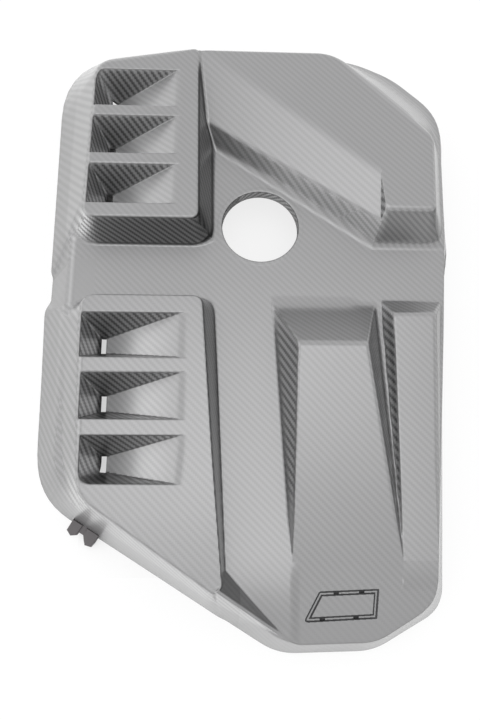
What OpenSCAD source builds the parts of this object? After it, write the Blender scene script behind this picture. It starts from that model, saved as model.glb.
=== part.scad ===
// Engine cover: one thin moulded shell with raised pods, six scoops, an oil filler
// opening and a bare badge seat. It rests on its rim, face up, with z = 0 at the rim.
// The end with the badge seat points to -Y.

/* [Shell] */
// Width of the whole cover over its rim
cover_w = 417.8; // [400:0.2:436]
// Length of the whole cover over its rim
cover_l = 628.8; // [605:0.2:655]
// Thickness of the moulded shell
wall = 2.5; // [2:0.25:3.5]
// Height of the low face between the pods above the rim
face_z = 50; // [44:1:56]
// Height of the pods' flat tops above the rim
pod_z = 86; // [82:1:92]
// Height of the upper end of the hood
hood_z = 90; // [84:1:98]
// Height of the upper end of the side block
block_z = 70; // [62:1:76]
// Height of the edge where the slanted facet meets its short wall
facet_z = 66; // [62:1:70]

/* [Scoops] */
// Depth of a scoop at its deep end
scoop_depth = 38; // [30:1:44]
// Width of a scoop across its mouth
scoop_w = 41; // [36:1:42]
// Distance from one scoop to the next on the upper pod
upper_pitch = 52.5; // [51:0.5:53]
// Distance from one scoop to the next on the lower pod
lower_pitch = 54.5; // [52:0.5:55.5]
// Width of the slot at the foot of each ramp
slot_w = 5; // [3:0.5:6]
// How far the scoop walls lean in over their depth
scoop_lean = 13; // [8:1:14]

/* [Filler opening] */
// Inner radius of the oil filler opening
filler_r = 37.5; // [30:0.5:40]
// Length of the collar around the opening
collar_h = 12; // [8:1:16]

/* [Badge seat] */
// Depth of the channel around the bare badge pad
badge_groove = 1.5; // [0.8:0.1:1.6]
// Width of that channel
badge_channel = 4.5; // [3:0.5:5]

/* [Fixings] */
// Radius of the ball socket in a grommet
ball_r = 5; // [4:0.25:6]
// Outer radius of a grommet
grommet_r = 10; // [9:0.5:11]
// Outer radius of a holder tube
holder_r = 13; // [12.5:0.5:15]
// Height of a grommet's lower face above the rim
grommet_z = 16; // [10:1:20]
// Length of a grommet
grommet_h = 14; // [12:1:16]

/* [Hidden] */
// The outlines below are drawn for a cover of this size, and stretched to the wanted one.
drawn = [417.8, 628.8];
stretch = [cover_w / drawn[0], cover_l / drawn[1]];
// moves the drawing's origin to the middle of the finished cover
middle = [-7.9 * stretch[0], -20.6 * stretch[1], 0];
// longer than the cover, for cutters that run past it
far = max(cover_w, cover_l);
// segments in a round corner of the shell
corner_n = 6;
round_n = 64;
// how far a cutter runs past the face it cuts
past = 1;
filler_at = at([16, 102]);
holder_at = [at([-110, 54]), at([165, 54]), at([4, -205]), at([62, 235])];
shell_colour = "#5b5d60";
plastic_colour = "#2e3033";
rubber_colour = "#1a1a1b";

// Corners are [x, y, radius], anticlockwise seen from above.
rim = [
    [-44, 332, 20], [-195, 300, 52], [-195, -157, 70], [31, -294, 60], [118, -292, 60],
    [184, -256, 35], [205, -2, 100], [213, 95, 60], [217, 240, 20], [168, 296, 35],
    [118, 322, 40]
];
face = [
    [-44, 299, 20], [-167, 270, 45], [-167, -150, 60], [36, -277, 60], [112, -275, 45],
    [164, -246, 40], [190, -2, 100], [199, 95, 60], [205, 232, 10], [157, 277, 25],
    [112, 298, 30]
];
upper_left_foot = [
    [-11, 335, 5], [-201, 335, 80], [-201, 66, 70], [-11, 66, 20]
];
upper_left_top = [
    [-47, 279, 5], [-146, 260, 18], [-151, 91, 20], [-44, 91, 8]
];
lower_left_foot = [
    [-15, 38, 25], [-201, 38, 25], [-194, -155, 95], [-10, -270, 10]
];
lower_left_top = [
    [-39, 15, 10], [-147, 15, 8], [-139, -161, 30], [-20, -240, 6]
];
upper_right_foot = [
    [-50, 299, 5], [-50, 199, 2], [125, 79, 2], [199, 79, 5], [205, 232, 10],
    [157, 277, 25], [112, 298, 30]
];
upper_right_top = [
    [-48, 277, 5], [-48, 229, 2], [135, 104, 2], [179, 104, 5], [183, 184, 14],
    [140, 226, 20], [89, 277, 40]
];
badge = [[50, -264, 3], [114, -261, 1], [116, -236, 1], [64, -238, 3]];
// where the hood is highest and where it fades out, and how steeply it falls between them
hood_top_y = -30;
hood_end_y = -213;
hood_slope = (hood_z - face_z) / (hood_top_y - hood_end_y);

// A drawn place on the stretched cover.
function at(p) = [p[0] * stretch[0], p[1] * stretch[1]];
function unit(v) = v / norm(v);
// side of the polygon moved in by d: a point on it and its direction
function moved(a, b, d) = let (t = unit(b - a)) [a + d * [-t[1], t[0]], t];
function meet(p, q) =
    let (k = cross(q[0] - p[0], q[1]) / cross(p[1], q[1])) p[0] + k * p[1];
function flat(c) = [c[0], c[1]];
// the same corners with every side moved in by d, for an anticlockwise polygon
function inset(corners, d) = let (n = len(corners)) [
    for (i = [0 : n - 1])
        let (
            a = flat(corners[(i + n - 1) % n]),
            b = flat(corners[i]),
            c = flat(corners[(i + 1) % n]),
            m = meet(moved(a, b, d), moved(b, c, d))
        ) [m[0], m[1], max(corners[i][2] - d, 1)]
];
// points of one rounded corner b between its neighbours a and c
function corner(a, b, c, r) =
    let (
        u = unit(a - b), v = unit(c - b),
        half = acos(max(-1, min(1, u * v))) / 2,
        reach = min(r / tan(half), 0.45 * min(norm(a - b), norm(c - b)))
    ) [
        for (k = [0 : corner_n])
            let (s = k / corner_n)
                b + reach * ((1 - s) * (1 - s) * u + s * s * v)
    ];
function rounded(corners) = let (n = len(corners)) [
    for (i = [0 : n - 1])
        each corner(flat(corners[(i + n - 1) % n]), flat(corners[i]),
                    flat(corners[(i + 1) % n]), corners[i][2])
];

function at_z(points, z) = [for (p = points) [p[0], p[1], z]];

// Solid between two anticlockwise outlines in space with the same number of points,
// stretched to the cover's size.
module loft(low, high) {
    n = len(low);
    polyhedron(
        points = [for (p = concat(low, high)) [p[0] * stretch[0], p[1] * stretch[1], p[2]]],
        faces = concat(
            [[for (i = [0 : n - 1]) i]],
            [[for (i = [n - 1 : -1 : 0]) n + i]],
            [for (i = [0 : n - 1]) [i, n + i, (i + 1) % n]],
            [for (i = [0 : n - 1]) [(i + 1) % n, n + i, n + (i + 1) % n]]));
}

// Drafted body between a foot at z_foot and a flat top, with its skin moved in by t.
module body(foot, z_foot, top, z_top, t) {
    loft(at_z(rounded(inset(foot, t)), t > 0 && z_foot == 0 ? -past : z_foot),
         at_z(rounded(inset(top, t)), z_top - t));
}

// Wedge with a lying base, an upper end at y_top and a lower end that fades out.
// base holds the x of the sides at the upper and lower end, top those of the crest.
module wedge(base_n, base_s, top_n, y_base, y_top, y_end, z_top, t) {
    floor_z = face_z - wall - (t > 0 ? 0.5 : 0);
    drop = face_z - t - floor_z;
    lean_w = (top_n[0] - base_n[0]) / (z_top - face_z) * drop;
    lean_e = (base_n[1] - top_n[1]) / (z_top - face_z) * drop;
    lean_y = (y_base - y_top) / (z_top - face_z) * drop;
    loft([[base_n[1] + lean_e - t, y_base + lean_y - t, floor_z],
          [base_n[0] - lean_w + t, y_base + lean_y - t, floor_z],
          [base_s[0] - lean_w + t, y_end, floor_z],
          [base_s[1] + lean_e - t, y_end, floor_z]],
         [[top_n[1] - t, y_top, z_top - t],
          [top_n[0] + t, y_top, z_top - t],
          [base_s[0] + t, y_end, face_z - t],
          [base_s[1] - t, y_end, face_z - t]]);
}

module hood(t) {
    wedge([28, 125], [41, 137], [46, 107], 20, hood_top_y, hood_end_y, hood_z, t);
}

module side_block(t) {
    wedge([131, 190], [137, 168], [137, 178], 25, 6, -213, block_z, t);
}

// Everything above a face that is level from a to b, at height z, and falls by slope
// (rise over run) to the right of that line.
module above(a, b, slope, z) {
    p = at(a);
    q = at(b);
    translate([p[0], p[1], z])
        rotate([0, 0, atan2(q[1] - p[1], q[0] - p[0])])
            rotate([atan(slope), 0, 0])
                translate([-far, -far, 0]) cube([2 * far, far, pod_z]);
}

// Everything above the slanted facet of the upper right pod.
module facet_cut(t) {
    run = 55;
    end_x = at([130, 0])[0];
    intersection() {
        above([5, 242], [119, 150], (pod_z - facet_z) / run, pod_z - t);
        translate([end_x + t - far, 0, 0]) cube([far, far, 2 * pod_z]);
    }
}

// The lower left pod's top falls gently over its last stretch.
module pod_fall_cut(t) {
    above([-150, -150], [0, -150], 12 / 95, pod_z - t);
}

// The low face falls towards the front edge: below the hood with the hood's own slope,
// left of it only near the edge, with a slanted face between the two.
module front_fall_cut(t) {
    turn_w = [20, -247];
    turn_e = [46, hood_end_y];
    run = turn_e - turn_w;
    above(turn_w - [20, 0], turn_w, hood_slope, face_z - t);
    intersection() {
        above(turn_e, turn_e + [20, 0], hood_slope, face_z - t);
        above(turn_w, turn_e, hood_slope * norm(run) / run[0], face_z - t);
    }
}

// Low solid ridge that carries the lower left pod's edge on and fades out.
module ridge() {
    low = face_z - wall;
    crest = 74;
    fallen = face_z - 45 * hood_slope;
    loft([[-10, -226, low], [-18, -247, low], [33, -275, fallen - wall]],
         [[-17, -236, crest], [-20, -241, crest], [33, -275, fallen]]);
}

// All raised bodies together, with their skin moved in by t.
module form(t) {
    difference() {
        body(rim, 0, face, face_z, t);
        front_fall_cut(t);
    }
    body(upper_left_foot, 0, upper_left_top, pod_z, t);
    difference() {
        body(lower_left_foot, 0, lower_left_top, pod_z, t);
        pod_fall_cut(t);
    }
    difference() {
        body(upper_right_foot, face_z - 6, upper_right_top, pod_z, t);
        facet_cut(t);
    }
    hood(t);
    side_block(t);
}

// One scoop: deep at its west end, ramped up to nothing at its east end.
// x is its west edge, y its middle, grow the thickness put around it.
module scoop(x, y, length, grow) {
    w = scoop_w / 2 + grow;
    deep = pod_z - scoop_depth - grow;
    top = pod_z + (grow > 0 ? -wall / 2 : past);
    lean = scoop_lean / scoop_depth;
    flare = grow > 0 ? 0 : past * lean;
    loft([[x + scoop_lean + slot_w + grow, y + w - scoop_lean, deep],
          [x + scoop_lean - grow / 2, y + w - scoop_lean, deep],
          [x + scoop_lean - grow / 2, y - w + scoop_lean, deep],
          [x + scoop_lean + slot_w + grow, y - w + scoop_lean, deep]],
         [[x + length + grow, y + w + flare, top], [x - grow - flare, y + w + flare, top],
          [x - grow - flare, y - w - flare, top], [x + length + grow, y - w - flare, top]]);
}

// The slot through the floor at the deep end of a scoop.
module slot(x, y) {
    low = at([x + scoop_lean, y - scoop_w / 2 + scoop_lean]);
    size = at([slot_w, scoop_w - 2 * scoop_lean]);
    translate([low[0], low[1], pod_z - scoop_depth - 2 * wall])
        cube([size[0], size[1], 3 * wall]);
}

// Where each scoop stands: west edge, middle, length.
scoops = [
    for (i = [0 : 2]) [-148, 126 + i * upper_pitch, 82],
    for (i = [0 : 2]) [-146 + 3 * i, -22.5 - i * lower_pitch, 90 - 2 * i]
];

// Bare pad with a channel around it and four small slots through the channel, all of it
// sheared onto the falling part of the low face.
module badge_seat() {
    pad = inset(badge, badge_channel);
    multmatrix([
        [1, 0, 0, 0],
        [0, 1, 0, 0],
        [0, hood_slope, 1, face_z - hood_slope * at([0, hood_end_y])[1]],
        [0, 0, 0, 1]
    ]) {
        difference() {
            translate([0, 0, -badge_groove])
                linear_extrude(past + badge_groove) polygon([for (p = rounded(badge)) at(p)]);
            translate([0, 0, -badge_groove - past])
                linear_extrude(3 * past + badge_groove) polygon([for (p = rounded(pad)) at(p)]);
        }
        for (p = [at([79, -239.5]), at([101, -238.5]), at([96, -260]), at([67, -261.5])])
            translate([p[0] - 2.5, p[1] - 1.2, -wall - past]) cube([5, 2.4, wall + 2 * past]);
    }
}

// Place along the slanted lower left side: x runs along it, y points outwards.
module at_bracket() {
    p = at([-146, -188]);
    translate([p[0], p[1], 0]) rotate([0, 0, -31.2]) mirror([0, 1, 0]) children();
}

module cover_shell() {
    color(shell_colour) translate(middle) difference() {
        union() {
            form(0);
            ridge();
        }
        difference() {
            form(wall);
            for (s = scoops) scoop(s[0], s[1], s[2], wall);
            translate([filler_at[0], filler_at[1], face_z - collar_h])
                cylinder(r = filler_r + wall, h = collar_h, $fn = round_n);
        }
        for (s = scoops) {
            scoop(s[0], s[1], s[2], 0);
            slot(s[0], s[1]);
        }
        translate([filler_at[0], filler_at[1], face_z - collar_h - past])
            cylinder(r = filler_r, h = collar_h + 2 * past, $fn = round_n);
        badge_seat();
        at_bracket() translate([-21, -12, -past]) cube([42, 30, 15]);
    }
}

// Clip bracket under the lower left edge, with two open lugs that point outwards.
module edge_bracket() {
    color(plastic_colour) translate(middle) at_bracket() {
        translate([-17, -16, 4]) cube([34, 22, 4]);
        translate([-17, -16, 4]) cube([34, 4, 15.5]);
        for (u = [-11, 11])
            translate([u - 5.5, 4, 2]) linear_extrude(9)
                polygon([[0, 0], [0, 8], [3, 12], [8, 12], [11, 8], [11, 0]]);
    }
}

// Flanged tube bonded under the shell, which holds one grommet.
module holder(i, under_z) {
    p = holder_at[i];
    color(plastic_colour) translate(middle + [p[0], p[1], 0]) difference() {
        union() {
            translate([0, 0, grommet_z]) cylinder(r = holder_r, h = under_z - grommet_z, $fn = 48);
            translate([0, 0, under_z - 3]) cylinder(r = holder_r + 5, h = 3, $fn = 48);
        }
        translate([0, 0, grommet_z - past]) cylinder(r = grommet_r, h = grommet_h + past, $fn = 48);
        translate([0, 0, grommet_z]) cylinder(r = ball_r, h = grommet_h + 6, $fn = 48);
    }
}

// Rubber grommet with a ball socket open downwards.
module grommet(i) {
    p = holder_at[i];
    mouth = 0.84 * ball_r;
    color(rubber_colour) translate(middle + [p[0], p[1], grommet_z]) difference() {
        union() {
            cylinder(r = grommet_r, h = grommet_h, $fn = 48);
            translate([0, 0, -2]) cylinder(r = grommet_r + 2, h = 2, $fn = 48);
        }
        translate([0, 0, -2 - past]) cylinder(r = mouth, h = 5 + past, $fn = 48);
        translate([0, 0, 5.5]) sphere(r = ball_r, $fn = 48);
    }
}

module left_holder() { holder(0, face_z - wall); }
module right_holder() { holder(1, face_z - wall); }
module front_holder() { holder(2, face_z - wall); }
module rear_holder() { holder(3, pod_z - wall); }
module left_grommet() { grommet(0); }
module right_grommet() { grommet(1); }
module front_grommet() { grommet(2); }
module rear_grommet() { grommet(3); }

cover_shell();
edge_bracket();
left_holder();
right_holder();
front_holder();
rear_holder();
left_grommet();
right_grommet();
front_grommet();
rear_grommet();
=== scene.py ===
import math

import bpy
import numpy as np
from mathutils import Matrix, Vector


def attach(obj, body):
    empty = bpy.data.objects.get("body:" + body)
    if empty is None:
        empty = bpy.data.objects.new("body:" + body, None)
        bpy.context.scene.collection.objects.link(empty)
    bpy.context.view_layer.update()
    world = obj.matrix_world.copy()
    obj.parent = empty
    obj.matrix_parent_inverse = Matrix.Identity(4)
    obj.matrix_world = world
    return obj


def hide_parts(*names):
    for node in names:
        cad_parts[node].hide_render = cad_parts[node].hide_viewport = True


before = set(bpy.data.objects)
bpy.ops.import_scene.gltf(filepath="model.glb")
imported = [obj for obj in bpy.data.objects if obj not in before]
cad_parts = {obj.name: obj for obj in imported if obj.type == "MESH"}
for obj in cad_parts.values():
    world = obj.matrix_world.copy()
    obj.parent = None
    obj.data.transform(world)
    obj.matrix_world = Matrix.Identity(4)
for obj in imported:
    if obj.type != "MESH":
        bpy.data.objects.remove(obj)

# The cover is drawn in millimetres, as in its construction, and placed in metres.
MM = 0.001
MIDDLE = np.array([-7.9, -20.6])
WALL = 2.5
FACE_Z = 50.0
POD_Z = 86.0
HOOD_Z = 90.0
BLOCK_Z = 70.0
FACET_Z = 66.0
# Rise over run of the hood's crest and of the front part of the low face, which begins to
# fall on this line, where the hood and the block end
FALL = 40 / 183
FALL_Y = -213

# Rounding of the moulding, as the height over which two faces blend into each other
EDGE = 6.0
FOOT = 8.0
CRISP = 3.0

SCOOP_DEPTH = 38.0
SCOOP_W = 41.0
UPPER_PITCH = 52.5
LOWER_PITCH = 54.5
SCOOP_LEAN = 13.0
SLOT_W = 5.0
SCOOP_ROUND = 32.0

# Distance between the lines of the grids of the top skin and of the underside, their reach,
# and the number of panels that the top skin is made of
TOP_PITCH = 0.95
UNDER_PITCH = 1.9
GRID_X = (-205, 221)
GRID_Y = (-298, 339)
TOP_PANELS = 5
# Height that counts as the rim, and how far below it a point may slide back onto it
RIM_Z = 0.05
SLIDE_FROM = -40
# Ends of the cover along y
FRONT_END = -293.55
BACK_END = 334.95

FILLER_AT = (16.0, 102.0)
FILLER_R = 37.5
COLLAR_H = 12.0
# Width of the collar's flat ring beneath which the skin ends
COLLAR_LAP = 3.8

# Badge seat: depth and width of its channel, run of the channel's walls, half size and
# depth of the slots, and number of grid lines across and along the fine patch
BADGE_GROOVE = 1.5
BADGE_CHANNEL = 4.5
BADGE_WALL = 1.7
BADGE_SLOT_HALF = (2.2, 0.9)
BADGE_SLOT_DEPTH = 2.2
BADGE_LINES = (305, 153)

# Outlines of the bodies as [x, y, corner radius], anticlockwise seen from above
RIM = [
    [-44, 331.8, 20], [-195, 300, 52], [-195, -157, 70], [31, -293.9, 60], [118, -291.9, 60],
    [184, -256, 35], [205, -2, 100], [213, 95, 60], [217, 240, 110], [168, 296, 150],
    [118, 322, 150],
]
FACE = [
    [-44, 299, 20], [-167, 270, 45], [-167, -150, 60], [36, -277, 60], [112, -275, 45],
    [164, -246, 40], [190, -2, 100], [199, 95, 60], [205, 232, 60], [157, 277, 100],
    [112, 298, 100],
]
UPPER_LEFT_FOOT = [
    [-11, 334.9, 5], [-201, 334.9, 80], [-197, 66, 8], [-11, 66, 20],
]
UPPER_LEFT_TOP = [
    [-47, 279, 5], [-146, 260, 18], [-151, 91, 12], [-44, 91, 8],
]
LOWER_LEFT_FOOT = [
    [-15, 38, 25], [-201, 38, 15], [-194, -155, 95], [-10, -270, 10],
]
LOWER_LEFT_TOP = [
    [-39, 15, 10], [-147, 15, 14], [-139, -161, 30], [-20, -240, 6],
]
UPPER_RIGHT_FOOT = [
    [-50, 299, 5], [-50, 199, 2], [125, 79, 2], [199, 79, 5],
    [205, 232, 60], [157, 277, 100], [112, 298, 100],
]
UPPER_RIGHT_TOP = [
    [-48, 277, 5], [-48, 229, 2], [135, 104, 2], [179, 104, 5],
    [183, 184, 14], [140, 226, 20], [89, 277, 40],
]
BADGE = [[50, -264, 3], [114, -261, 1], [116, -236, 1], [64, -238, 3]]
BADGE_SLOTS = [(79, -239.5), (101, -238.5), (96, -260), (67, -261.5)]
BADGE_PATCH = (45.0, 121.0, -269.0, -231.0)

# Wedges: y of the northern foot and length, x of the left and right feet there with the
# shift of each over the length, and the run of the left, right and northern walls
HOOD = (20, 233, (28, 13), (125, 12), (15.2, 20.6, 50))
BLOCK = (25, 238, (131, 6), (190, -22), (5.5, 12, 19))
# Run of the block's crest, and its tail in front of the hood's end: how much gentler it
# falls than the hood at first, over what stretch, and how much steeper all along
BLOCK_CREST_RUN = 219
TAIL_GENTLER = 0.127
TAIL_STRETCH = 40
TAIL_STEEPER = 0.05
# Low ridge: both ends, height at the first and drop to the second, slopes of its inner,
# outer and back faces, of its fading end, and half its crest's width
RIDGE_FROM = (-18.0, -239.0)
RIDGE_TO = (34.0, -275.0)
RIDGE_Z = 75
RIDGE_DROP = 34
RIDGE_SLOPES = (2.0, 3.4, 4.0)
RIDGE_FADE = 1.5
RIDGE_HALF = 1
# Facet of the third pod: its upper edge, its run, and the wall on its right
FACET_EDGE = ((5.0, 242.0), (119.0, 150.0))
FACET_RUN = 55
FIN_X = 129.5
FIN_SLOPE = 3.4
# Falling front of the low face: x where its bend turns soft, y where the left part sets
# in and the length of its parabola, and x where the left part goes over into the right
BEND_SOFT_X = 139
LEFT_FALL_Y = -205
LEFT_FALL_RUN = 60
FALL_JOIN_X = 48
# Front of the lower left pod's top: where it begins to fall, and its drop over a run
POD_FALL_Y = -150
POD_DROP, POD_DROP_RUN = 12, 95

# Clip bracket: place and turn in degrees of its plate, and its plate, upstand and two lugs
# as outline, lower and upper height and chamfer
BRACKET_AT = (-146.0, -188.0)
BRACKET_TURN = -31.2
BRACKET_BLOCKS = [
    ([[-14.2, -16], [13.8, -16], [13.8, 3.2], [-14.2, 3.2]], 4.0, 8.0, 0.5),
    ([[-14.2, -16], [13.8, -16], [13.8, -12], [-14.2, -12]], 4.3, 19.5, 0.5),
    ([[-14.2, -4], [-3.6, -4], [-3.6, 3.4], [-4.0, 6.4], [-8.3, 9.4], [-13.9, 6.9]],
     2.5, 9.5, 0.7),
    ([[1.2, -4], [14.1, -4], [14.1, 3.4], [13.2, 8.3], [7.8, 9.7], [5.0, 7.0], [1.8, 3.2]],
     2.5, 9.5, 0.7),
]

# West edge, middle and length of each scoop, with the place of its one round corner
SCOOPS = [(-148, 126 + i * UPPER_PITCH, 82, i == 2, 1) for i in range(3)]
SCOOPS += [(-146 + 3 * i, -22.5 - i * LOWER_PITCH, 90 - 2 * i, i == 2, -1) for i in range(3)]


def smooth_min(a, b, k):
    """Lower of two heights; where they differ by less than k, a parabola joins them."""
    h = np.clip(k - np.abs(a - b), 0, None) / k
    return np.minimum(a, b) - h * h * k / 4


def smooth_max(a, b, k):
    """Higher of two heights, joined in the same way."""
    return -smooth_min(-a, -b, k)


def step(t):
    """Smooth step from 0 to 1 as t goes from 0 to 1."""
    t = np.clip(t, 0, 1)
    return t * t * (3 - 2 * t)


def rounded(corners, n=8):
    """Closed outline whose corners are parabolic arcs, tangent to both sides."""
    c = np.array(corners, float)
    s = np.linspace(0, 1, n + 1)[:, None]
    points = []
    for i in range(len(c)):
        before, here, after = c[i - 1, :2], c[i, :2], c[(i + 1) % len(c), :2]
        u, v = before - here, after - here
        lu, lv = np.linalg.norm(u), np.linalg.norm(v)
        u, v = u / lu, v / lv
        half = math.acos(max(-1.0, min(1.0, float(u @ v)))) / 2
        reach = min(c[i, 2] / math.tan(half), 0.45 * min(lu, lv))
        points.append(here + reach * ((1 - s) ** 2 * u + s ** 2 * v))
    return np.concatenate(points)


def inside_distance(outline, x, y):
    """Distance to a closed outline, positive inside: least distance to its segments,
    signed by how often a ray to the right crosses them."""
    best = np.full(x.shape, 1e9)
    inside = np.zeros(x.shape, bool)
    for (ax, ay), (bx, by) in zip(outline, np.roll(outline, -1, axis=0)):
        ex, ey = bx - ax, by - ay
        length2 = ex * ex + ey * ey
        if length2 < 1e-9:
            continue
        t = np.clip(((x - ax) * ex + (y - ay) * ey) / length2, 0, 1)
        best = np.minimum(best, (x - ax - t * ex) ** 2 + (y - ay - t * ey) ** 2)
        if abs(ey) > 1e-12:
            crosses = ((ay > y) != (by > y)) & (x < ax + (y - ay) * ex / ey)
            inside ^= crosses
    return np.where(inside, 1, -1) * np.sqrt(best)


def drafted(foot, z_foot, top, z_top, x, y):
    """Height of a drafted wall that runs from one outline at its foot to another at its
    top: the distances to the two outlines share out the height between them."""
    d_foot = inside_distance(rounded(foot), x, y)
    d_top = inside_distance(rounded(top), x, y)
    run = np.maximum(d_foot - d_top, 1.0)
    return z_foot + (z_top - z_foot) * d_foot / run


def wedge_sides(x, y, wedge, rise):
    """Heights of a wedge's left, right and northern walls, each a plane that climbs by the
    rise over its run. The side walls' feet shift evenly along the length."""
    north, length, (left, left_shift), (right, right_shift), runs = wedge
    along = (north - y) / length
    west = FACE_Z + (x - (left + left_shift * along)) * rise / runs[0]
    east = FACE_Z + ((right + right_shift * along) - x) * rise / runs[1]
    return west, east, FACE_Z + (north - y) * rise / runs[2]


def wedge_height(west, east, north, top, lift):
    """Wedge with leaning sides, a ramp to the north and a crest that fades out to the
    south. Its edges are rounded by at most 5, and less where it is low."""
    round_edge = np.clip(0.7 * lift, 0.1, 5.0)
    h = smooth_min(north, top, 4.0)
    return smooth_min(smooth_min(h, west, round_edge), east, round_edge)


def hood_height(x, y):
    """Hood: the high wedge in the middle."""
    sides = wedge_sides(x, y, HOOD, HOOD_Z - FACE_Z)
    lift = (y - FALL_Y) * FALL
    return wedge_height(*sides, FACE_Z + lift + 0.4 * np.minimum(lift, 0), lift)


def block_height(x, y):
    """Side block: a lower wedge along the right-hand edge, whose tail runs out in front."""
    sides = wedge_sides(x, y, BLOCK, BLOCK_Z - FACE_Z)
    beyond = np.maximum(FALL_Y - y, 0)
    lift = np.maximum(y - FALL_Y, 0) * (BLOCK_Z - FACE_Z) / BLOCK_CREST_RUN
    fall = FALL - TAIL_GENTLER * (1 - step(beyond / TAIL_STRETCH))
    lift = lift - beyond * fall - TAIL_STEEPER * beyond
    return wedge_height(*sides, FACE_Z + lift, lift)


def ridge_height(x, y):
    """Low ridge from the lower left pod's corner along the slanted edge, fading out. Its
    crest falls with the way along it, and its faces with the distance from it."""
    a, b = np.array(RIDGE_FROM), np.array(RIDGE_TO)
    length = np.linalg.norm(b - a)
    t = (b - a) / length
    s = (x - a[0]) * t[0] + (y - a[1]) * t[1]
    off = -(x - a[0]) * t[1] + (y - a[1]) * t[0]
    crest = RIDGE_Z - RIDGE_DROP * s / length - RIDGE_FADE * np.maximum(s - length, 0)
    inner = crest - (off - RIDGE_HALF) * RIDGE_SLOPES[0]
    outer = crest + (off + RIDGE_HALF) * RIDGE_SLOPES[1]
    back = FACE_Z + (s + 14) * RIDGE_SLOPES[2]
    h = smooth_min(smooth_min(inner, outer, 4.0), crest, 3.0)
    return smooth_min(h, back, 4.0)


def upper_right_height(x, y):
    """Pod with a level top, a slanted facet cut into it and a short wall east of that."""
    wall = drafted(UPPER_RIGHT_FOOT, FACE_Z - 6, UPPER_RIGHT_TOP, POD_Z, x, y)
    h = smooth_min(wall, np.full(x.shape, POD_Z), EDGE)
    a, b = np.array(FACET_EDGE)
    t = (b - a) / np.linalg.norm(b - a)
    down = (x - a[0]) * t[1] - (y - a[1]) * t[0]
    facet = POD_Z - down * (POD_Z - FACET_Z) / FACET_RUN
    fin = facet + np.maximum(x - FIN_X, 0) * FIN_SLOPE
    return smooth_min(h, fin, 2.5)


def front_fall(x, y):
    """Low face: level, but falling towards the front edge. Below the hood it keeps the
    hood's slope, left of it the fall sets in as a parabola, and a short step joins them."""
    soft = 0.1 + 5 * step((x - BEND_SOFT_X) / 4)
    right = smooth_max(np.zeros(x.shape), (FALL_Y - y) * FALL, soft)
    south = np.maximum(LEFT_FALL_Y - y, 0)
    parabola = south ** 2 / (2 * LEFT_FALL_RUN)
    left = FALL * np.where(south < LEFT_FALL_RUN, parabola, south - LEFT_FALL_RUN / 2)
    return FACE_Z - right - (left - right) * step((FALL_JOIN_X - x) / 10)


def pods_height(x, y):
    """All bodies of the moulding joined: low face, pods, hood, block and ridge."""
    top = np.full(x.shape, POD_Z)
    wall = drafted(RIM, 0, FACE, FACE_Z, x, y)
    h = smooth_min(wall, front_fall(x, y), 4 + 8 * step((-130 - x) / 20))
    upper_left = drafted(UPPER_LEFT_FOOT, 0, UPPER_LEFT_TOP, POD_Z, x, y)
    upper_left = smooth_min(upper_left, top, EDGE)
    falling = smooth_min(top, POD_Z + (y - POD_FALL_Y) * POD_DROP / POD_DROP_RUN, 6.0)
    lower_left = drafted(LOWER_LEFT_FOOT, 0, LOWER_LEFT_TOP, POD_Z, x, y)
    lower_left = smooth_min(lower_left, falling, EDGE)
    h = smooth_max(h, np.minimum(upper_right_height(x, y), 1.35 * wall), FOOT)
    foot = np.clip((y - FALL_Y) * FALL, 0.1, FOOT - 4 * step((x - 100) / 15))
    h = smooth_max(h, np.minimum(hood_height(x, y), wall), foot)
    foot = np.clip((y - FALL_Y) * 0.09, 0.3, 2)
    h = smooth_max(h, np.minimum(block_height(x, y), wall), foot)
    h = smooth_max(h, upper_left, FOOT)
    h = smooth_max(h, lower_left, FOOT)
    return smooth_max(h, np.minimum(ridge_height(x, y), 1.35 * wall), 2.0)


def scoop_height(x, y, scoop):
    """Pocket with three leaning walls and a ramp that climbs eastwards to the mouth."""
    west, middle, length, has_round, side = scoop
    lean = SCOOP_DEPTH / SCOOP_LEAN
    north = POD_Z + (y - (middle + SCOOP_W / 2)) * lean
    south = POD_Z - (y - (middle - SCOOP_W / 2)) * lean
    back = POD_Z - (x - west) * lean
    ramp = POD_Z - (west + length - x) * SCOOP_DEPTH / (length - SCOOP_LEAN - SLOT_W)
    floor = np.full(x.shape, POD_Z - SCOOP_DEPTH)
    if has_round and side > 0:
        walls = smooth_max(smooth_max(north, back, SCOOP_ROUND), south, 1.5)
    elif has_round:
        walls = smooth_max(smooth_max(south, back, SCOOP_ROUND), north, 1.5)
    else:
        walls = smooth_max(smooth_max(north, back, 5.0), south, 1.5)
    return smooth_max(walls, smooth_max(ramp, floor, 1.0), 1.5)


def cover_height(x, y):
    """Height of the cover's top skin: the joined bodies with the scoops cut into them."""
    h = pods_height(x, y)
    for scoop in SCOOPS:
        h = smooth_min(h, scoop_height(x, y, scoop), CRISP)
    return h


def badge_channel(x, y):
    """Share of the channel's depth at a place, from 0 beside it to 1 on its floor."""
    d = inside_distance(rounded(BADGE), x, y)
    return step(d / BADGE_WALL) * step((BADGE_CHANNEL - d) / BADGE_WALL)


def badge_height(x, y):
    """The top skin with a channel around the bare badge pad and four deep slots in it."""
    channel = badge_channel(x, y)
    h = cover_height(x, y) - BADGE_GROOVE * channel
    half_x, half_y = BADGE_SLOT_HALF
    for sx, sy in BADGE_SLOTS:
        inset = np.minimum(half_x - np.abs(x - sx), half_y - np.abs(y - sy))
        h = h - BADGE_SLOT_DEPTH * step(inset / 0.5 + 0.5) * channel
    return h


def surface_normals(height, x, y, h, reach=0.2):
    """Unit normals of a height function from its differences over a small reach."""
    hx = (height(x + reach, y) - height(x - reach, y)) / (2 * reach)
    hy = (height(x, y + reach) - height(x, y - reach)) / (2 * reach)
    n = np.stack([-hx, -hy, np.ones_like(h)], axis=-1)
    return n / np.linalg.norm(n, axis=-1, keepdims=True)


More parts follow.
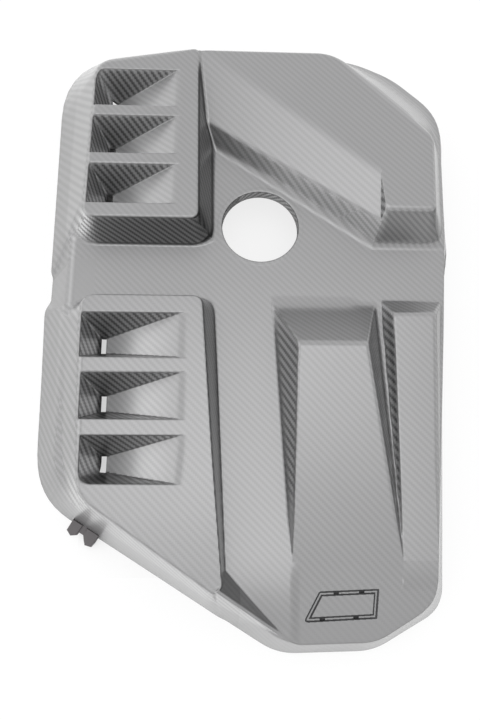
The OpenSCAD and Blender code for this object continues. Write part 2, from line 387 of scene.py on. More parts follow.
def grid_lines(low, high, pitch, fixed):
    """Evenly spaced lines that also hold each fixed value exactly."""
    fixed = np.unique(np.array(fixed, float))
    even = np.linspace(low, high, int(round((high - low) / pitch)) + 1)
    near = np.abs(even[:, None] - fixed[None]).min(axis=1)
    return np.sort(np.concatenate([even[near > 0.6 * pitch], fixed]))


def grid_quads(keep, flip=False):
    """Corner numbers of the kept cells of a grid, anticlockwise seen from above."""
    rows, cols = keep.shape[0] + 1, keep.shape[1] + 1
    number = np.arange(rows * cols).reshape(rows, cols)
    around = [number[:-1, :-1], number[:-1, 1:], number[1:, 1:], number[1:, :-1]]
    quads = np.stack(around, axis=-1)[keep]
    return quads[:, ::-1] if flip else quads


# Width of one tow of the weave in millimetres
TOW = 1.7
# Faces whose normal is less upright than this carry the weave as walls
WALL_UPRIGHT = 0.62
# Shares of the place and of the height in a wall's weave coordinate. Front and back walls
# in one stretch of the cover take more of the height
UNROLL_PLACE = 0.7
UNROLL_X = 0.5
UNROLL_Y = 0.38
UNROLL_Y_MORE = 0.8
UNROLL_MORE_FROM, UNROLL_MORE_TO = 60, 110
# Outer left side: where it begins, and its stretch about a line
OUTER_LEFT_X = -140
STRETCH, STRETCH_ABOUT = 1.07, -170
# Squeeze along the left and right walls about a line
SQUEEZE, SQUEEZE_ABOUT = 0.75, 45


def weave_uv(points, normals, quads):
    """Weave coordinates for each corner, counted in tows: level faces take them from above,
    and a wall unrolls from the edge that it falls from. Left and right walls have it
    squeezed lengthways, and on the outer left side it is stretched across, as in a
    pressing."""
    n = normals[quads].mean(axis=1)
    x, y, z = (points[quads][:, :, k] for k in range(3))
    steep = np.abs(n[:, 2]) < WALL_UPRIGHT
    steep_x = steep & (np.abs(n[:, 0]) > np.abs(n[:, 1]))
    steep_y = steep & ~steep_x
    outer_left = (x < OUTER_LEFT_X) & (n[:, :1] < 0)
    stretched_x = STRETCH * (x - STRETCH_ABOUT) + STRETCH_ABOUT
    unrolled_x = UNROLL_PLACE * x - UNROLL_X * np.sign(n[:, :1]) * z
    more = (y > UNROLL_MORE_FROM) & (y < UNROLL_MORE_TO)
    share = np.where(more, UNROLL_Y_MORE, UNROLL_Y)
    unrolled_y = UNROLL_PLACE * y - share * np.sign(n[:, 1:2]) * z
    squeezed_y = SQUEEZE * (y - SQUEEZE_ABOUT) + SQUEEZE_ABOUT
    u = np.where(steep_x[:, None], np.where(outer_left, stretched_x, unrolled_x), x)
    v = np.where(steep_x[:, None], squeezed_y, np.where(steep_y[:, None], unrolled_y, y))
    return np.stack([u, v], axis=-1).reshape(-1, 2) / TOW


def make_piece(name, points, quads, normals=None, material=None, uv=None):
    """Mesh object from arrays in millimetres of the drawing, placed in metres."""
    used, flat = np.unique(quads, return_inverse=True)
    flat = flat.reshape(quads.shape)
    placed = points[used].astype(float)
    placed[:, :2] += MIDDLE
    mesh = bpy.data.meshes.new(name)
    mesh.vertices.add(len(used))
    mesh.vertices.foreach_set("co", (placed * MM).ravel())
    sides = quads.shape[1]
    mesh.loops.add(flat.size)
    mesh.loops.foreach_set("vertex_index", flat.ravel())
    mesh.polygons.add(len(flat))
    mesh.polygons.foreach_set("loop_start", np.arange(0, flat.size, sides))
    mesh.polygons.foreach_set("use_smooth", np.ones(len(flat), bool))
    if uv is not None:
        layer = mesh.uv_layers.new(name="weave")
        layer.data.foreach_set("uv", uv.astype(np.float32).ravel())
    mesh.update(calc_edges=True)
    if normals is not None:
        mesh.normals_split_custom_set_from_vertices(normals[used].astype(np.float32))
    piece = bpy.data.objects.new(name, mesh)
    bpy.context.scene.collection.objects.link(piece)
    if material is not None:
        mesh.materials.append(material)
    return piece


def cover_grid(pitch):
    """Grid of the whole cover with its lines on the slots' and the badge patch's sides."""
    x_fixed = [BADGE_PATCH[0], BADGE_PATCH[1]]
    y_fixed = [BADGE_PATCH[2], BADGE_PATCH[3]]
    half = SCOOP_W / 2 - SCOOP_LEAN
    for west, middle, *_ in SCOOPS:
        x_fixed += [west + SCOOP_LEAN, west + SCOOP_LEAN + SLOT_W]
        y_fixed += [middle - half, middle + half]
    x_lines = grid_lines(*GRID_X, pitch, x_fixed)
    y_lines = grid_lines(*GRID_Y, pitch, y_fixed)
    return np.meshgrid(x_lines, y_lines)


def cell_in(x, y, low_x, high_x, low_y, high_y):
    """Cells whose middle lies in a rectangle."""
    cx = (x[:-1, :-1] + x[1:, 1:]) / 2
    cy = (y[:-1, :-1] + y[1:, 1:]) / 2
    return (cx > low_x) & (cx < high_x) & (cy > low_y) & (cy < high_y)


def slot_cells(x, y):
    """Cells that lie in one of the slots at the foot of the ramps."""
    half = SCOOP_W / 2 - SCOOP_LEAN
    cells = np.zeros((x.shape[0] - 1, x.shape[1] - 1), bool)
    for west, middle, *_ in SCOOPS:
        low = west + SCOOP_LEAN
        cells |= cell_in(x, y, low, low + SLOT_W, middle - half, middle + half)
    return cells


def onto_rim(x, y, h):
    """Points below the rim's height slide uphill until they lie on the outline."""
    for _ in range(4):
        reach = 0.2
        hx = (pods_height(x + reach, y) - pods_height(x - reach, y)) / (2 * reach)
        hy = (pods_height(x, y + reach) - pods_height(x, y - reach)) / (2 * reach)
        slope2 = np.maximum(hx * hx + hy * hy, 1.0)
        x = x - h * hx / slope2
        y = y - h * hy / slope2
        h = pods_height(x, y)
    return x, y


def any_corner(mask):
    """Cells with at least one corner in the mask."""
    return mask[:-1, :-1] | mask[:-1, 1:] | mask[1:, 1:] | mask[1:, :-1]


def all_corners(mask):
    """Cells with all four corners in the mask."""
    return mask[:-1, :-1] & mask[:-1, 1:] & mask[1:, 1:] & mask[1:, :-1]


def skin(pitch):
    """Height field on a grid, cut off at the rim and open at the filler and the slots:
    places as drawn, points, unit normals and the cells that are kept."""
    x, y = cover_grid(pitch)
    h = cover_height(x, y)
    keep = any_corner(h > RIM_Z)
    moved = (h <= RIM_Z) & (h > SLIDE_FROM)
    mx, my = onto_rim(x[moved], y[moved], h[moved])
    my = np.clip(my, FRONT_END, BACK_END)
    flat_x, flat_y = x.copy(), y.copy()
    x[moved], y[moved], h[moved] = mx, my, 0.0
    h = np.maximum(h, 0)
    reach2 = (x - FILLER_AT[0]) ** 2 + (y - FILLER_AT[1]) ** 2
    keep &= ~all_corners(reach2 < (FILLER_R + COLLAR_LAP) ** 2)
    keep &= ~slot_cells(flat_x, flat_y)
    normals = surface_normals(cover_height, x, y, h).reshape(-1, 3)
    points = np.stack([x, y, h], axis=-1).reshape(-1, 3)
    return flat_x, flat_y, points, normals, keep


def top_skin(material):
    """Top skin in panels from front to back, open where the badge patch lies."""
    flat_x, flat_y, points, normals, keep = skin(TOP_PITCH)
    keep = keep & ~cell_in(flat_x, flat_y, *BADGE_PATCH)
    rows = np.arange(keep.shape[0])
    pieces = []
    for number in range(TOP_PANELS):
        band = (rows * TOP_PANELS // len(rows)) == number
        quads = grid_quads(keep & band[:, None])
        pieces.append(make_piece("cover_top_panel_%d" % (number + 1), points, quads, normals,
                                 material, weave_uv(points, normals, quads)))
    return pieces


def under_skin(material):
    """Underside: the same height field on a coarser grid, moved inwards along its normals
    by one wall, and not below the table."""
    _, _, points, normals, keep = skin(UNDER_PITCH)
    under = points - WALL * normals
    under[:, 2] = np.maximum(under[:, 2], 0)
    quads = grid_quads(keep, flip=True)
    return make_piece("cover_under_panel", under, quads, -normals, material,
                      weave_uv(under, normals, quads))


def badge_seat(material, shade):
    """Fine patch of the top skin that holds the channel around the bare badge pad. The
    faces on the channel's walls and in its slots take a painted shade, as dark as the shade in
    a narrow groove."""
    x0, x1, y0, y1 = BADGE_PATCH
    across, along = BADGE_LINES
    x, y = np.meshgrid(np.linspace(x0, x1, across), np.linspace(y0, y1, along))
    h = badge_height(x, y)
    normals = surface_normals(badge_height, x, y, h, 0.1).reshape(-1, 3)
    points = np.stack([x, y, h], axis=-1).reshape(-1, 3)
    quads = grid_quads(np.ones((along - 1, across - 1), bool))
    piece = make_piece("badge_seat", points, quads, normals, material,
                       weave_uv(points, normals, quads))
    piece.data.materials.append(shade)
    deep = (cover_height(x, y) - h).ravel()[quads].mean(axis=1)
    part = badge_channel(x, y).ravel()[quads].mean(axis=1)
    dark = ((part > 0.02) & (part < 0.985)) | (deep > BADGE_GROOVE + 0.4)
    piece.data.polygons.foreach_set("material_index", dark.astype(np.int32))
    return piece


def swept_ring(name, path, normals2d, profile, material):
    """Closed ring: a profile of (out, height) pairs carried along a closed path, where out
    is measured along the path's outward normal."""
    out, up = np.array(profile).T
    n, m = len(path), len(profile)
    points = np.empty((n, m, 3))
    points[:, :, :2] = path[:, None] + normals2d[:, None] * out[None, :, None]
    points[:, :, 2] = up[None]
    number = np.arange(n)[:, None] * m + np.arange(m - 1)[None]
    ahead = (np.arange(1, n + 1) % n)[:, None] * m + np.arange(m - 1)[None]
    quads = np.stack([number, ahead, ahead + 1, number + 1], axis=-1).reshape(-1, 4)
    flat = points.reshape(-1, 3)
    step_up = np.gradient(up)
    step_out = np.gradient(out)
    size = np.maximum(np.hypot(step_up, step_out), 1e-9)
    face_out, face_up = step_up / size, -step_out / size
    normals = np.concatenate([
        normals2d[:, None] * face_out[None, :, None],
        np.broadcast_to(face_up[None, :, None], (n, m, 1))], axis=-1).reshape(-1, 3)
    p = flat[quads]
    turns = np.arange(n)[:, None] * np.ones((1, m - 1))
    along = np.stack([turns, turns + 1, turns + 1, turns], axis=-1).reshape(-1, 4)
    along = along * np.linalg.norm(path[1] - path[0])
    upright = (np.abs(normals[quads][:, :, 2]).mean(axis=1) < 0.6)[:, None]
    uv = np.stack([np.where(upright, along, p[:, :, 0]),
                   np.where(upright, p[:, :, 2], p[:, :, 1])], axis=-1).reshape(-1, 2) / TOW
    return make_piece(name, flat, quads, normals, material, uv)


def arc_profile(centre, radius, start, end, n):
    """Points of a profile on an arc, by angle in degrees."""
    a = np.radians(np.linspace(start, end, n))
    return [(centre[0] + radius * math.cos(t), centre[1] + radius * math.sin(t)) for t in a]


def filler_collar(material):
    """Rolled edge of the filler opening: flat ring, round lip, then the collar's wall."""
    a = np.linspace(0, 2 * math.pi, 193)[:-1]
    side = np.stack([np.cos(a), np.sin(a)], axis=-1)
    path = np.array(FILLER_AT) + FILLER_R * side
    lip = 1.6
    top = FACE_Z + 0.03
    profile = [(WALL, FACE_Z - COLLAR_H + 0.2), (WALL * 0.8, FACE_Z - COLLAR_H)]
    profile += [(0.4, FACE_Z - COLLAR_H), (0.0, FACE_Z - COLLAR_H + 0.4)]
    profile += [(0.0, z) for z in np.linspace(FACE_Z - COLLAR_H + 1, top - lip - 0.5, 6)]
    profile += arc_profile((lip, top - lip), lip, 180, 90, 9)
    profile += [(r, top) for r in (2.2, 3.2, 4.4)] + [(5.4, top - 0.1)]
    profile += [(WALL + 1.5, FACE_Z - WALL - 0.5), (WALL, FACE_Z - WALL - 2)]
    profile += [(WALL, FACE_Z - COLLAR_H + 0.2)]
    return swept_ring("filler_collar", path, side, profile[::-1], material)


def rim_lip(material):
    """Lower edge of the shell: the outline where the walls meet the rim's height, found by
    halving along rays from the middle, with a rounded strip one wall thick along it."""
    a = np.linspace(0, 2 * math.pi, 1201)[:-1]
    ray = np.stack([np.cos(a), np.sin(a)], axis=-1)
    low, high = np.full(a.shape, 100.0), np.full(a.shape, 420.0)
    for _ in range(24):
        mid = (low + high) / 2
        h = pods_height(mid * ray[:, 0], mid * ray[:, 1])
        low, high = np.where(h > 0, mid, low), np.where(h > 0, high, mid)
    path = low[:, None] * ray
    path[:, 1] = np.clip(path[:, 1], FRONT_END, BACK_END)
    along = np.roll(path, -1, axis=0) - np.roll(path, 1, axis=0)
    along /= np.linalg.norm(along, axis=1, keepdims=True)
    side = np.stack([along[:, 1], -along[:, 0]], axis=-1)
    profile = [(-0.05, 0.2), (-0.1, 0.0), (-1.4, 0.0), (-WALL, 0.0), (-WALL - 0.4, 1.6)]
    return swept_ring("rim_lip", path, side, profile[::-1], material)


def slot_walls(material):
    """Short walls through the shell around each slot: the slot's outline at the top skin
    and the same outline one wall lower."""
    half = SCOOP_W / 2 - SCOOP_LEAN
    all_points, all_quads = [], []
    for west, middle, *_ in SCOOPS:
        x0, x1 = west + SCOOP_LEAN, west + SCOOP_LEAN + SLOT_W
        y0, y1 = middle - half, middle + half
        s = np.linspace(0, 1, 9)[:-1]
        corners = np.array([[x0, y0], [x1, y0], [x1, y1], [x0, y1], [x0, y0]])
        loop = np.concatenate([corners[i] + s[:, None] * (corners[i + 1] - corners[i])
                               for i in range(4)])
        z = cover_height(loop[:, 0], loop[:, 1])
        n = len(loop)
        top = np.column_stack([loop, z])
        low = np.column_stack([loop, z - WALL - 1.2])
        i = np.arange(n)
        j = (i + 1) % n
        base = sum(len(p) for p in all_points)
        all_points += [top, low]
        all_quads.append(base + np.stack([i, j, n + j, n + i], axis=-1))
    points = np.concatenate(all_points)
    quads = np.concatenate(all_quads)
    return make_piece("slot_walls", points, quads, None, material)


def prism(corners, low, high, soft):
    """Upright block with chamfered edges: rings of its outline, drawn in towards the middle
    by the chamfer at both ends, and a fan of triangles onto the middle of each end."""
    outline = np.array(corners, float)
    centre = outline.mean(axis=0)
    inward = centre - outline
    inward /= np.linalg.norm(inward, axis=1, keepdims=True)
    n = len(outline)
    rings = [(soft, low), (0.0, low + soft), (0.0, high - soft), (soft, high)]
    points = [np.column_stack([outline + draw * inward, np.full(n, z)]) for draw, z in rings]
    points += [[[*centre, low]], [[*centre, high]]]
    i = np.arange(n)
    j = (i + 1) % n
    faces = []
    for k in range(len(rings) - 1):
        a, b = k * n, (k + 1) * n
        faces += [np.stack([a + i, a + j, b + j], axis=-1),
                  np.stack([a + i, b + j, b + i], axis=-1)]
    bottom, top, last = len(rings) * n, len(rings) * n + 1, (len(rings) - 1) * n
    faces.append(np.stack([j, i, np.full(n, bottom)], axis=-1))
    faces.append(np.stack([last + i, last + j, np.full(n, top)], axis=-1))
    return np.concatenate(points), np.concatenate(faces)


def clip_bracket(material):
    """Small plate under the lower left edge with an upstand inside and two open lugs that
    point outwards. It is worked out along the slanted edge, then turned onto it."""
    turn = math.radians(BRACKET_TURN)
    along = np.array([math.cos(turn), math.sin(turn)])
    outwards = np.array([math.sin(turn), -math.cos(turn)])
    all_points, all_faces, count = [], [], 0
    for corners, low, high, soft in BRACKET_BLOCKS:
        points, faces = prism(corners, low, high, soft)
        flat = np.array(BRACKET_AT) + points[:, :1] * along + points[:, 1:2] * outwards
        all_points.append(np.column_stack([flat, points[:, 2]]))
        all_faces.append(faces[:, ::-1] + count)
        count += len(points)
    piece = make_piece("clip_bracket", np.concatenate(all_points), np.concatenate(all_faces),
                       None, material)
    piece.data.shade_flat()
    return piece


# Materials

# Bump height of the weave and of the plastic's grain, in metres
RELIEF = 0.0002

# Faces by the upright part of their normal, from where one kind begins to where it ends
STEEPEST = (0.34, 0.52)
STEEP = (0.40, 0.70)
LEANING = (0.60, 0.85)
TO_LEVEL = (0.50, 0.95)
HALF_STEEP = ((0.40, 0.50), (0.62, 0.74))

# Parts of the cover by their place in metres
RIM_EDGE_Z = (0.036, 0.046)
FRONT_LEFT_Y = (-0.205, -0.165)
LEFT_GAP_X = -0.150
LEFT_GAP_Y = (0.0, 0.044)
LEFT_PODS_X = (-0.3, -0.012)
POD_RIGHT_WALL_X = (-0.060, -0.012)
POD_FRONT_WALL_Y = (0.040, 0.072)
HOOD_FOOT_Z = 0.049
HOOD_X = (0.020, 0.3)
HOOD_Y = (-0.4, 0.020)
BACK_HALF_Y = (0.040, 0.4)

# Share of the stripes that is lost in the front left corner and between the left pods, and
# how strongly a normal counts as looking to the left and to the back
CORNER_STRIPES_LOST = 0.75
GAP_STRIPES_LOST = 0.8
LOOKS_LEFT, LOOKS_BACK = 1.3, 1.2
LOW_STRIPES = 0.3

# What each kind of place adds to the lightness or takes from it: a faint random mottle, and
# for the rest painted light and shade
MOTTLE = 0.06
FRONT_LIGHTER = 0.3
HOOD_LIGHTER = 0.4
POD_WALLS_DARKER = 0.8
BEVEL_DARKER = 0.25
SLANTED_WALL_LIGHTER = 1.6
LOW_WALLS_DARKER = 0.45
CORNER_LIGHTER = 0.7
HALF_STEEP_DARKER = 0.72
# Share of the front in the direction that counts as looking away
AWAY_FRONT = 0.7

# A scoop's ramp by its normal, its place and its height, and how much lighter it is painted
# at its foot than at its mouth, a painted light against the shade of the pocket
RAMP_NORMAL_X = ((-0.58, -0.50), (-0.42, -0.34))
RAMP_NORMAL_Y = ((-0.15, -0.05), (0.05, 0.15))
RAMP_X = ((-0.155, -0.150), (-0.060, -0.050))
RAMP_Z = (0.047, 0.090)
RAMP_FOOT_LIGHTER = 1.15


class Graph:
    """Nodes of one material or world, with short calls for the kinds used most."""

    def __init__(self, tree):
        self.nodes, self.links = tree.nodes, tree.links

    def feed(self, socket, value):
        """Link another socket to this one, or set a plain number or colour on it."""
        if hasattr(value, "links"):
            self.links.new(value, socket)
        else:
            socket.default_value = value

    def op(self, operation, *values, clamp=False):
        """One Math node."""
        node = self.nodes.new("ShaderNodeMath")
        node.operation = operation
        node.use_clamp = clamp
        for socket, value in zip(node.inputs, values):
            self.feed(socket, value)
        return node.outputs[0]

    def plus(self, first, *others):
        """Sum of all values."""
        for other in others:
            first = self.op("ADD", first, other)
        return first

    def times(self, first, *others):
        """Product of all values."""
        for other in others:
            first = self.op("MULTIPLY", first, other)
        return first

    def lessened(self, amount, share):
        """1 less a share of the amount."""
        return self.op("MULTIPLY_ADD", amount, -share, 1.0)

    def ramp(self, value, low, high, at_low, at_high):
        """Smooth step from at_low to at_high while the value goes from low to high."""
        node = self.nodes.new("ShaderNodeMapRange")
        node.interpolation_type = "SMOOTHSTEP"
        for name, number in (("Value", value), ("From Min", low), ("From Max", high),
                             ("To Min", at_low), ("To Max", at_high)):
            self.feed(node.inputs[name], number)
        return node.outputs[0]

    def window(self, value, rise, fall):
        """Smooth step up over one range of the value and down again over another."""
        return self.times(self.ramp(value, *rise, 0.0, 1.0), self.ramp(value, *fall, 1.0, 0.0))

    def band(self, value, low, high):
        """1 where the value lies between two numbers, else 0."""
        return self.times(self.op("GREATER_THAN", value, low),
                          self.op("LESS_THAN", value, high))

    def mix(self, factor, a, b, colour=False):
        """Blend of two numbers or two colours."""
        node = self.nodes.new("ShaderNodeMix")
        node.data_type = "RGBA" if colour else "FLOAT"
        first, result = (6, 2) if colour else (2, 0)
        for number, value in ((0, factor), (first, a), (first + 1, b)):
            self.feed(node.inputs[number], value)
        return node.outputs[result]

    def split(self, vector):
        """The three parts of a vector."""
        node = self.nodes.new("ShaderNodeSeparateXYZ")
        self.feed(node.inputs[0], vector)
        return list(node.outputs)

    def place(self):
        """Object coordinates, in metres."""
        return self.nodes.new("ShaderNodeTexCoord").outputs["Object"]

    def noise(self, scale, detail):
        """Noise fixed to the object."""
        node = self.nodes.new("ShaderNodeTexNoise")
        node.inputs["Scale"].default_value = scale
        node.inputs["Detail"].default_value = detail
        self.feed(node.inputs["Vector"], self.place())
        return node.outputs[0]

    def bump(self, height, strength):
        """Relief for a shader's normal."""
        node = self.nodes.new("ShaderNodeBump")
        node.inputs["Strength"].default_value = strength
        node.inputs["Distance"].default_value = RELIEF
        self.feed(node.inputs["Height"], height)
        return node.outputs[0]

    def seen_directly(self):
        """1 for what the camera sees itself, else 0."""
        return self.nodes.new("ShaderNodeLightPath").outputs["Is Camera Ray"]


def new_material(name):
    """Material with its graph and its plain shader."""
    material = bpy.data.materials.new(name)
    material.use_nodes = True
    graph = Graph(material.node_tree)
    return material, graph, graph.nodes["Principled BSDF"]


def weave_pattern(graph):
    """Two over two twill: tows are counted along both weave axes, and their sum, counted
    round by fours, says which one lies on top. Gives stripes around 0, which a wave along
    the diagonal softens, and the crown of the tow on top for the relief."""
    uv = graph.nodes.new("ShaderNodeUVMap")
    uv.uv_map = "weave"
    u, v, _ = graph.split(uv.outputs[0])
    count = graph.plus(graph.op("FLOOR", u), graph.op("FLOOR", v))
    on_top = graph.op("LESS_THAN", graph.op("FLOORED_MODULO", count, 4.0), 1.5)
    crown = graph.mix(on_top, graph.op("PINGPONG", v, 0.5), graph.op("PINGPONG", u, 0.5))
    diagonal = graph.op("SINE", graph.times(graph.plus(u, v), math.pi / 2))
    return graph.op("MULTIPLY_ADD", diagonal, 0.5, graph.plus(on_top, -0.5)), crown


def stripe_strength(graph, normal, place, upright, raised, front_steep_faces, flat, wall):
    """How far the stripes stand out: little on level faces and more on steep ones. They are
    weak low on the rim's walls, unless those look to the left or to the back, and in the
    front left corner and between the two left pods."""
    by_slope = graph.plus(graph.ramp(upright, *STEEPEST, wall, 0.0),
                          graph.ramp(upright, *TO_LEVEL, 3 * flat, flat))
    looks_left = graph.op("ADD", graph.times(normal[0], -LOOKS_LEFT),
                          graph.times(normal[1], LOOKS_BACK), clamp=True)
    gap = graph.times(graph.band(place[1], *LEFT_GAP_Y),
                      graph.op("LESS_THAN", place[0], LEFT_GAP_X))
    return graph.times(by_slope, graph.op("MAXIMUM", raised, looks_left),
                       graph.lessened(front_steep_faces, CORNER_STRIPES_LOST),
                       graph.lessened(gap, GAP_STRIPES_LOST))


def mottle_and_painted_light(graph, normal, place, upright, raised, front_steep_faces):
    """Lightness around 1. A faint mottle lies everywhere; the rest is painted light and shade.
    Steep faces are painted lighter where they look to the front, on the hood and block, and
    on the third pod's slanted wall. They are painted darker where they look to the back, on
    the left pods' right walls and the back one's front wall, low on the rim and on the left
    bevel of the back half. Half steep faces that look right or to the front take a painted
    shade too. The front left corner takes a painted highlight, and the scoops' ramps are
    painted lighter towards their foot."""
    mottle = graph.op("MULTIPLY_ADD", graph.noise(14.0, 3.0), MOTTLE, 1.0 - MOTTLE / 2)
    left = graph.op("MINIMUM", normal[0], 0.0)
    front = graph.op("MINIMUM", normal[1], 0.0)
    looks_away = graph.op("SUBTRACT", normal[0], graph.times(normal[1], AWAY_FRONT),
                          clamp=True)
    pod_walls = graph.times(graph.band(place[0], *LEFT_PODS_X),
                            graph.op("MAXIMUM", graph.band(place[0], *POD_RIGHT_WALL_X),
                                     graph.band(place[1], *POD_FRONT_WALL_Y)))
    hood = graph.times(graph.op("GREATER_THAN", place[2], HOOD_FOOT_Z),
                       graph.band(place[0], *HOOD_X), graph.band(place[1], *HOOD_Y))
    back_half = graph.band(place[1], *BACK_HALF_Y)
    on_steep = graph.plus(graph.times(normal[1], -FRONT_LIGHTER),
                          graph.times(hood, HOOD_LIGHTER),
                          graph.times(pod_walls, looks_away, -POD_WALLS_DARKER),
                          graph.times(back_half, left, BEVEL_DARKER),
                          graph.times(back_half, left, front, SLANTED_WALL_LIGHTER),
                          graph.times(graph.plus(raised, -1.0), LOW_WALLS_DARKER))
    # Painted highlight on steep faces of the front band that look to the left
    corner = graph.times(front_steep_faces, graph.op("MULTIPLY", normal[0], -CORNER_LIGHTER, clamp=True))
    half_steep = graph.times(looks_away, graph.window(upright, *HALF_STEEP),
                             -HALF_STEEP_DARKER)
    on_ramp = graph.times(graph.window(normal[0], *RAMP_NORMAL_X),
                          graph.window(normal[1], *RAMP_NORMAL_Y),
                          graph.window(place[0], *RAMP_X),
                          graph.ramp(place[2], *RAMP_Z, RAMP_FOOT_LIGHTER, 0.0))
    return graph.plus(mottle, graph.times(on_steep, graph.ramp(upright, *STEEP, 1.0, 0.0)),
                      corner, half_steep, on_ramp)


def twill(name, colour, flat_contrast, wall_contrast, roughness, coat, bump, metal):
    """Twill laminate under lacquer: the colour times a faint mottle with painted light and
    shade times the stripes, with the crowns of the tows as relief."""
    material, graph, shader = new_material(name)
    pattern, crown = weave_pattern(graph)
    normal = graph.split(graph.nodes.new("ShaderNodeNewGeometry").outputs["Normal"])
    place = graph.split(graph.place())
    upright = graph.op("ABSOLUTE", normal[2])
    raised = graph.ramp(place[2], *RIM_EDGE_Z, LOW_STRIPES, 1.0)
    # Steep faces of the front band, where the stripes are weaker and a painted highlight lies
    front_steep_faces = graph.times(graph.ramp(place[1], *FRONT_LEFT_Y, 1.0, 0.0),
                       graph.ramp(upright, *LEANING, 1.0, 0.0))
    strength = stripe_strength(graph, normal, place, upright, raised, front_steep_faces, flat_contrast,
                               wall_contrast)
    # A faint mottle with painted light and shade on the laminate, by slope, facing and place
    painted_lightness = mottle_and_painted_light(graph, normal, place, upright, raised, front_steep_faces)
    toned = graph.nodes.new("ShaderNodeVectorMath")
    toned.operation = "SCALE"
    toned.inputs[0].default_value = colour
    graph.feed(toned.inputs["Scale"],
               graph.times(painted_lightness, graph.plus(1.0, graph.times(pattern, strength))))
    graph.feed(shader.inputs["Base Color"], toned.outputs[0])
    graph.feed(shader.inputs["Normal"], graph.bump(crown, bump))
    shader.inputs["Metallic"].default_value = metal
    shader.inputs["Roughness"].default_value = roughness
    shader.inputs["Coat Weight"].default_value = coat
    shader.inputs["Coat Roughness"].default_value = 0.2
    return material


def moulded(name, colour, roughness, grain):
    """Moulded plastic or rubber with a fine grain and a slight mottle."""
    material, graph, shader = new_material(name)
    lighter = tuple(min(1.0, c * 1.5) for c in colour[:3]) + (1.0,)
    graph.feed(shader.inputs["Base Color"],
               graph.mix(graph.noise(60.0, 4.0), colour, lighter, colour=True))
    graph.feed(shader.inputs["Normal"], graph.bump(graph.noise(1500.0, 2.0), grain))
    shader.inputs["Roughness"].default_value = roughness
    return material


# Studio

PHOTO_W = 480
FOCAL_PX = 650.0
CENTRE_PX = (240.0, 360.0)
# Pixel that lies straight below the camera
NADIR_PX = (215.0, 540.0)
CAMERA_HEIGHT = 0.630
SENSOR_MM = 36.0
# Brightness of the room's even light, and what is added to the north, overhead and from
# a wide soft light low in the west
SKY_LEVEL = 1.20
SKY_NORTH = 0.25
SKY_OVERHEAD = 0.15
OVERHEAD_Z = (0.88, 1.0)
SKY_WEST = 1.4
LAMP_WATTS = 5.0
LAMP_SIZE = 1.2
LAMP_AT = (0.0, -0.1, 1.6)
# Half width of the table top, and its grey
TABLE_HALF = 3.0
TABLE_GREY = 0.76
# Share of plain white in the table top as the camera sees it, beside and beneath the cover,
# where less of it is a painted shadow, and how much less of it there is beneath the back
# left pod, a deeper painted shadow
FLOOR_GLOW = 0.8
FLOOR_GLOW_UNDER = 0.62
FLOOR_GLOW_BACK_LEFT = 0.6
# Half width and half length of the part of the table top that lies beneath the cover, the
# back left pod's corner, and the reach of the painted pool of light below the filler opening
UNDER_HALF = (0.16, 0.25)
BACK_LEFT_FROM = (-0.05, 0.06)
FILLER_LIGHT_R = 0.06
# Place on the low face that the photo's middle shows, in metres
AIM = (-0.0119, -0.0556, 0.050)


def place_camera():
    """Camera whose straight-down direction falls on the nadir pixel, moved sideways until
    its middle ray meets the aimed place."""
    offset = [nadir - centre for nadir, centre in zip(NADIR_PX, CENTRE_PX)]
    down = Vector((*offset, FOCAL_PX)).normalized()
    up = -down
    east = (Vector((1, 0, 0)) - down.x * down).normalized()
    north = up.cross(east)
    rows = Matrix((east, north, up))
    right, below, ahead = rows.col[0], rows.col[1], rows.col[2]
    turn = Matrix((right, -below, -ahead)).transposed()
    away = (CAMERA_HEIGHT - AIM[2]) / -ahead.z
    data = bpy.data.cameras.new("camera")
    data.sensor_fit = "HORIZONTAL"
    data.sensor_width = SENSOR_MM
    data.lens = FOCAL_PX / PHOTO_W * data.sensor_width
    data.clip_start = 0.01
    camera = bpy.data.objects.new("camera", data)
    bpy.context.scene.collection.objects.link(camera)
    camera.matrix_world = Matrix.Translation(Vector(AIM) - away * ahead) @ turn.to_4x4()
    bpy.context.scene.camera = camera


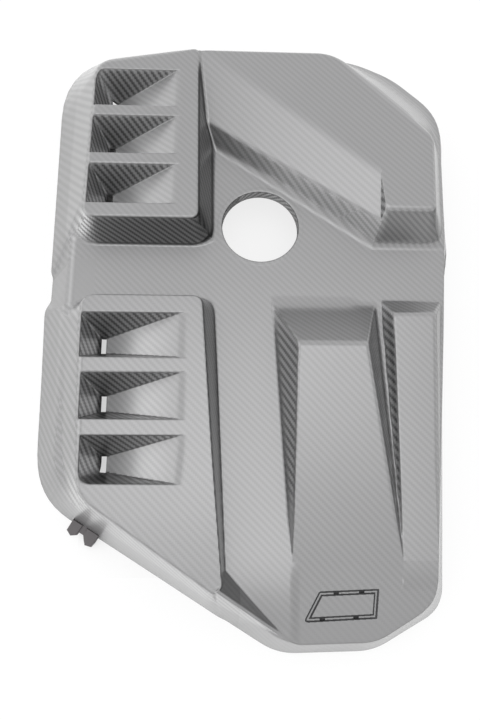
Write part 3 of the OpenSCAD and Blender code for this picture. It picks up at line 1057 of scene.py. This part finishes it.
def floor():
    """Plain white table top with the cover's shadow. Seen directly it is nearly white beside
    the cover and, as a painted pool of light, below the filler opening; beneath the cover a
    painted shadow makes it greyer where it shows through the slots, more so beneath the back
    left pod."""
    t = TABLE_HALF
    mesh = bpy.data.meshes.new("table_top")
    mesh.from_pydata([(-t, -t, 0), (t, -t, 0), (t, t, 0), (-t, t, 0)], [], [(0, 1, 2, 3)])
    obj = bpy.data.objects.new("table_top", mesh)
    bpy.context.scene.collection.objects.link(obj)
    material, graph, shader = new_material("table_white")
    shader.inputs["Base Color"].default_value = (TABLE_GREY, TABLE_GREY, TABLE_GREY, 1)
    shader.inputs["Roughness"].default_value = 0.7
    shader.inputs["Specular IOR Level"].default_value = 0.2
    place = graph.place()
    x, y, _ = graph.split(place)
    far = graph.op("MAXIMUM", graph.op("DIVIDE", graph.op("ABSOLUTE", x), UNDER_HALF[0]),
                   graph.op("DIVIDE", graph.op("ABSOLUTE", y), UNDER_HALF[1]))
    from_filler = graph.nodes.new("ShaderNodeVectorMath")
    from_filler.operation = "DISTANCE"
    graph.feed(from_filler.inputs[0], place)
    filler = [(at + off) * MM for at, off in zip(FILLER_AT, MIDDLE)]
    from_filler.inputs[1].default_value = (filler[0], filler[1], 0.0)
    # Full white beside the cover and in a painted pool of light below the filler opening; less
    # beneath the cover as a painted shadow, least beneath the back left pod
    lit = graph.op("MAXIMUM", graph.op("GREATER_THAN", far, 1.0),
                   graph.op("LESS_THAN", from_filler.outputs["Value"], FILLER_LIGHT_R))
    back_left = graph.times(graph.op("LESS_THAN", x, BACK_LEFT_FROM[0]),
                            graph.op("GREATER_THAN", y, BACK_LEFT_FROM[1]),
                            graph.lessened(lit, 1.0))
    share = graph.op("MULTIPLY_ADD", lit, FLOOR_GLOW - FLOOR_GLOW_UNDER, FLOOR_GLOW_UNDER)
    share = graph.op("SUBTRACT", share, graph.times(back_left, FLOOR_GLOW_BACK_LEFT),
                     clamp=True)
    glow = graph.nodes.new("ShaderNodeEmission")
    glow.inputs["Strength"].default_value = 1.0
    blend = graph.nodes.new("ShaderNodeMixShader")
    graph.feed(blend.inputs[0], graph.times(graph.seen_directly(), share))
    graph.feed(blend.inputs[1], shader.outputs[0])
    graph.feed(blend.inputs[2], glow.outputs[0])
    graph.feed(graph.nodes["Material Output"].inputs["Surface"], blend.outputs[0])
    mesh.materials.append(material)


def studio():
    """Soft light all around: a pale room, brighter to the north, overhead and most of all
    in the west, and one wide lamp above that draws the soft shadows."""
    world = bpy.data.worlds.new("studio")
    bpy.context.scene.world = world
    world.use_nodes = True
    graph = Graph(world.node_tree)
    x, y, z = graph.split(graph.nodes.new("ShaderNodeTexCoord").outputs["Generated"])
    north = graph.op("MULTIPLY_ADD", graph.op("MAXIMUM", y, 0.0), SKY_NORTH, SKY_LEVEL)
    west = graph.times(graph.op("POWER", graph.op("MINIMUM", x, 0.0), 4.0), SKY_WEST)
    level = graph.plus(north, west, graph.ramp(z, *OVERHEAD_Z, 0.0, SKY_OVERHEAD))
    back = graph.nodes["Background"]
    back.inputs[0].default_value = (1, 1, 1, 1)
    graph.feed(back.inputs[1], graph.mix(graph.seen_directly(), level, 1.0))
    lamp = bpy.data.lights.new("ceiling_panel", "AREA")
    lamp.shape = "RECTANGLE"
    lamp.size = lamp.size_y = LAMP_SIZE
    lamp.energy = LAMP_WATTS
    holder = bpy.data.objects.new("ceiling_panel", lamp)
    holder.location = LAMP_AT
    bpy.context.scene.collection.objects.link(holder)
    bpy.context.scene.view_settings.view_transform = "Standard"


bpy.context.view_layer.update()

place_camera()
floor()
studio()

carbon = twill("carbon_twill", (0.222, 0.222, 0.224), 0.07, 0.35, 0.38, 0.8, 0.3, 0.8)
under_side = twill("laminate_underside", (0.05, 0.05, 0.051), 0.15, 0.2, 0.6, 0.0, 0.4, 1.0)
# Painted shade for the badge channel's walls and slots, as dark as shade in a narrow groove
painted_groove_shade = moulded("painted_groove_shade", (0.022, 0.022, 0.023, 1), 0.5, 0.1)
bracket_plastic = moulded("bracket_plastic", (0.06, 0.055, 0.057, 1), 0.45, 0.3)
holder_plastic = moulded("holder_plastic", (0.025, 0.026, 0.028, 1), 0.5, 0.3)
grommet_rubber = moulded("grommet_rubber", (0.012, 0.012, 0.013, 1), 0.7, 0.5)

shell_pieces = top_skin(carbon)
shell_pieces += [under_skin(under_side), badge_seat(carbon, painted_groove_shade),
                 filler_collar(carbon), rim_lip(carbon), slot_walls(carbon)]
for piece in shell_pieces:
    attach(piece, "root")
    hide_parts("cover_shell")

bracket = clip_bracket(bracket_plastic)
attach(bracket, "root")
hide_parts("edge_bracket")

for side in ("left", "right", "front", "rear"):
    for kind, material in (("holder", holder_plastic), ("grommet", grommet_rubber)):
        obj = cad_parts[side + "_" + kind]
        obj.data.materials.clear()
        obj.data.materials.append(material)
